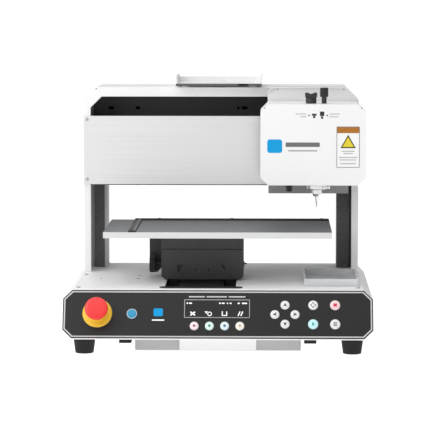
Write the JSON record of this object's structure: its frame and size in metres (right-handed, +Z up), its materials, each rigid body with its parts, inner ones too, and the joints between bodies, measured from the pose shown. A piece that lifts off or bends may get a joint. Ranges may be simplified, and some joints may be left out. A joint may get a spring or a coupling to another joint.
{
  "type": "desktop engraving machine",
  "caption": "Desktop engraving machine: sloping control panel, portal with sliding engraving head, wedge-lift work table.",
  "frame": {"origin": "on the ground under the middle of the machine's bounding box", "axes": "+X to the operator's right, +Y away from the operator, +Z up"},
  "size_m": [0.48, 0.4174, 0.4235],
  "materials": {
    "white_paint": "fine satin powder coat",
    "grey_paint": "satin paint",
    "black_panel": "satin printed overlay",
    "black_textured": "coarse textured powder coat",
    "black_anodised": "black anodised",
    "grey_aluminium": "satin machined",
    "brushed_aluminium": "brushed",
    "steel": "ground",
    "rubber": "matt",
    "display": "smoked window",
    "yellow_plastic": "moulded",
    "red_plastic": "moulded",
    "button_plastic": "moulded keys with printed signs",
    "black_plastic": "moulded",
    "board_green": "solder mask",
    "clear_acrylic": "polished clear sheet"
  },
  "bodies": {
    "machine_frame": {"base_housing": "white_paint", "control_panel": "black_panel", "display_screen": "display", "estop_base": "yellow_plastic", "rubber_feet": "rubber", "belly_pan": "grey_paint", "portal_shell": "white_paint", "beam_front_cover": "brushed_aluminium", "case_screws": "steel", "uprights": "black_textured", "crossbeam": "brushed_aluminium", "guide_rails": "steel", "screw_bearings": "black_anodised", "drive_motors": "black_anodised", "slot_cover": "black_anodised", "rear_panels": "white_paint", "power_inlet": "black_plastic", "controller_board": "board_green", "power_supply": "steel", "accessory_shelf": "white_paint", "tool_tray": "clear_acrylic"},
    "x_screw": {"x_screw": "steel"},
    "y_screw": {"y_screw": "steel"},
    "carriage": {"carriage_plate": "grey_aluminium", "x_bearing_blocks": "steel"},
    "head": {"head_cover": "white_paint", "head_bracket": "grey_aluminium", "z_drive_motor": "black_anodised", "spindle_housing": "steel", "spindle_motor": "black_anodised", "spindle_nose": "grey_aluminium", "pointer_block": "black_plastic"},
    "z_screw": {"z_screw": "steel"},
    "cutter": {"cutter": "steel"},
    "pressure_lock_knob": {"pressure_lock_knob": "black_plastic"},
    "pressure_adjuster_knob": {"pressure_adjuster_knob": "black_plastic"},
    "lift_base": {"lift_base_box": "black_anodised", "y_bearing_blocks": "black_anodised"},
    "lift_wedge_left": {"lift_wedge_left": "steel"},
    "lift_wedge_right": {"lift_wedge_right": "steel"},
    "lift_hand_screw": {"lift_hand_screw": "black_anodised"},
    "lift_top": {"lift_top_box": "black_anodised", "work_table": "grey_aluminium", "table_rulers": "black_anodised"},
    "estop_stem": {"estop_stem": "steel"},
    "estop_mushroom": {"estop_mushroom": "red_plastic"},
    "rocker_switch": {"rocker_switch": "black_plastic"},
    "power_button": {"power_button": "button_plastic"},
    "arrow_up_button": {"arrow_up_button": "button_plastic"},
    "arrow_down_button": {"arrow_down_button": "button_plastic"},
    "arrow_left_button": {"arrow_left_button": "button_plastic"},
    "arrow_right_button": {"arrow_right_button": "button_plastic"},
    "centre_button": {"centre_button": "button_plastic"},
    "start_button": {"start_button": "button_plastic"},
    "stop_button": {"stop_button": "button_plastic"},
    "menu_button": {"menu_button": "button_plastic"},
    "soft_key_1": {"soft_key_1": "button_plastic"},
    "soft_key_2": {"soft_key_2": "button_plastic"},
    "soft_key_3": {"soft_key_3": "button_plastic"},
    "soft_key_4": {"soft_key_4": "button_plastic"}
  },
  "joints": [
    {"name": "x_travel", "type": "slide", "parent": "machine_frame", "child": "carriage", "axis": [1, 0, 0], "range_m": [-0.3, 0]},
    {"name": "x_screw_turn", "type": "hinge", "parent": "machine_frame", "child": "x_screw", "pos_m": [0, 0.09824, 0.306], "axis": [1, 0, 0], "range_deg": [-10801, 1]},
    {"name": "y_travel", "type": "slide", "parent": "machine_frame", "child": "lift_base", "axis": [0, 1, 0], "range_m": [-0.1, 0.1]},
    {"name": "y_screw_turn", "type": "hinge", "parent": "machine_frame", "child": "y_screw", "pos_m": [-0.0285, 0, 0.0732], "axis": [0, 1, 0], "range_deg": [-7201, 7201]},
    {"name": "z_travel", "type": "slide", "parent": "carriage", "child": "head", "axis": [0, 0, 1], "range_m": [-0.025, 0.003]},
    {"name": "z_screw_turn", "type": "hinge", "parent": "head", "child": "z_screw", "pos_m": [0.104, 0.01024, 0.304], "axis": [0, 0, 1], "range_deg": [-1801, 217]},
    {"name": "cutter_spin", "type": "hinge", "parent": "head", "child": "cutter", "pos_m": [0.155, -0.02776, 0.254], "axis": [0, 0, 1], "continuous": true},
    {"name": "pressure_lock_turn", "type": "hinge", "parent": "head", "child": "pressure_lock_knob", "pos_m": [0.1453, -0.03476, 0.389], "axis": [0, 0, 1], "range_deg": [0, 90]},
    {"name": "pressure_adjuster_turn", "type": "hinge", "parent": "head", "child": "pressure_adjuster_knob", "pos_m": [0.166, -0.03476, 0.399], "axis": [0, 0, 1], "range_deg": [-360, 360]},
    {"name": "lift_rise", "type": "slide", "parent": "lift_base", "child": "lift_top", "axis": [0, 0, 1], "range_m": [0, 0.022]},
    {"name": "wedge_left_slide", "type": "slide", "parent": "lift_base", "child": "lift_wedge_left", "axis": [1, 0, 0], "range_m": [0, 0.0221]},
    {"name": "wedge_right_slide", "type": "slide", "parent": "lift_base", "child": "lift_wedge_right", "axis": [-1, 0, 0], "range_m": [0, 0.0221]},
    {"name": "hand_screw_turn", "type": "hinge", "parent": "lift_base", "child": "lift_hand_screw", "pos_m": [-0.0275, 0.00724, 0.123], "axis": [1, 0, 0], "range_deg": [-1, 1981]},
    {"name": "estop_press", "type": "slide", "parent": "machine_frame", "child": "estop_stem", "axis": [0, 0.9063, -0.4226], "range_m": [0, 0.004]},
    {"name": "estop_twist", "type": "hinge", "parent": "estop_stem", "child": "estop_mushroom", "pos_m": [-0.1865, -0.19437, 0.07429], "axis": [0, -0.9063, 0.4226], "range_deg": [0, 35], "stiffness_Nm_per_rad": 0.08},
    {"name": "rocker_tilt", "type": "hinge", "parent": "machine_frame", "child": "rocker_switch", "pos_m": [-0.12, 0.19924, 0.064], "axis": [1, 0, 0], "range_deg": [-12, 12]},
    {"name": "power_button_press", "type": "slide", "parent": "machine_frame", "child": "power_button", "axis": [0, 0.9063, -0.4226], "range_m": [0, 0.0015], "stiffness_N_per_m": 400},
    {"name": "arrow_up_button_press", "type": "slide", "parent": "machine_frame", "child": "arrow_up_button", "axis": [0, 0.9063, -0.4226], "range_m": [0, 0.0015], "stiffness_N_per_m": 400},
    {"name": "arrow_down_button_press", "type": "slide", "parent": "machine_frame", "child": "arrow_down_button", "axis": [0, 0.9063, -0.4226], "range_m": [0, 0.0015], "stiffness_N_per_m": 400},
    {"name": "arrow_left_button_press", "type": "slide", "parent": "machine_frame", "child": "arrow_left_button", "axis": [0, 0.9063, -0.4226], "range_m": [0, 0.0015], "stiffness_N_per_m": 400},
    {"name": "arrow_right_button_press", "type": "slide", "parent": "machine_frame", "child": "arrow_right_button", "axis": [0, 0.9063, -0.4226], "range_m": [0, 0.0015], "stiffness_N_per_m": 400},
    {"name": "centre_button_press", "type": "slide", "parent": "machine_frame", "child": "centre_button", "axis": [0, 0.9063, -0.4226], "range_m": [0, 0.0015], "stiffness_N_per_m": 400},
    {"name": "start_button_press", "type": "slide", "parent": "machine_frame", "child": "start_button", "axis": [0, 0.9063, -0.4226], "range_m": [0, 0.0015], "stiffness_N_per_m": 400},
    {"name": "stop_button_press", "type": "slide", "parent": "machine_frame", "child": "stop_button", "axis": [0, 0.9063, -0.4226], "range_m": [0, 0.0015], "stiffness_N_per_m": 400},
    {"name": "menu_button_press", "type": "slide", "parent": "machine_frame", "child": "menu_button", "axis": [0, 0.9063, -0.4226], "range_m": [0, 0.0015], "stiffness_N_per_m": 400},
    {"name": "soft_key_1_press", "type": "slide", "parent": "machine_frame", "child": "soft_key_1", "axis": [0, 0.9063, -0.4226], "range_m": [0, 0.0015], "stiffness_N_per_m": 400},
    {"name": "soft_key_2_press", "type": "slide", "parent": "machine_frame", "child": "soft_key_2", "axis": [0, 0.9063, -0.4226], "range_m": [0, 0.0015], "stiffness_N_per_m": 400},
    {"name": "soft_key_3_press", "type": "slide", "parent": "machine_frame", "child": "soft_key_3", "axis": [0, 0.9063, -0.4226], "range_m": [0, 0.0015], "stiffness_N_per_m": 400},
    {"name": "soft_key_4_press", "type": "slide", "parent": "machine_frame", "child": "soft_key_4", "axis": [0, 0.9063, -0.4226], "range_m": [0, 0.0015], "stiffness_N_per_m": 400}
  ],
  "couplings": [
    {"joint": "x_screw_turn", "follows": "x_travel", "rad_per_m": 628.32},
    {"joint": "y_screw_turn", "follows": "y_travel", "rad_per_m": 1256.6},
    {"joint": "z_screw_turn", "follows": "z_travel", "rad_per_m": 1256.6},
    {"joint": "wedge_left_slide", "follows": "lift_rise", "ratio": 1},
    {"joint": "wedge_right_slide", "follows": "lift_rise", "ratio": 1},
    {"joint": "hand_screw_turn", "follows": "lift_rise", "rad_per_m": 1570.8}
  ]
}
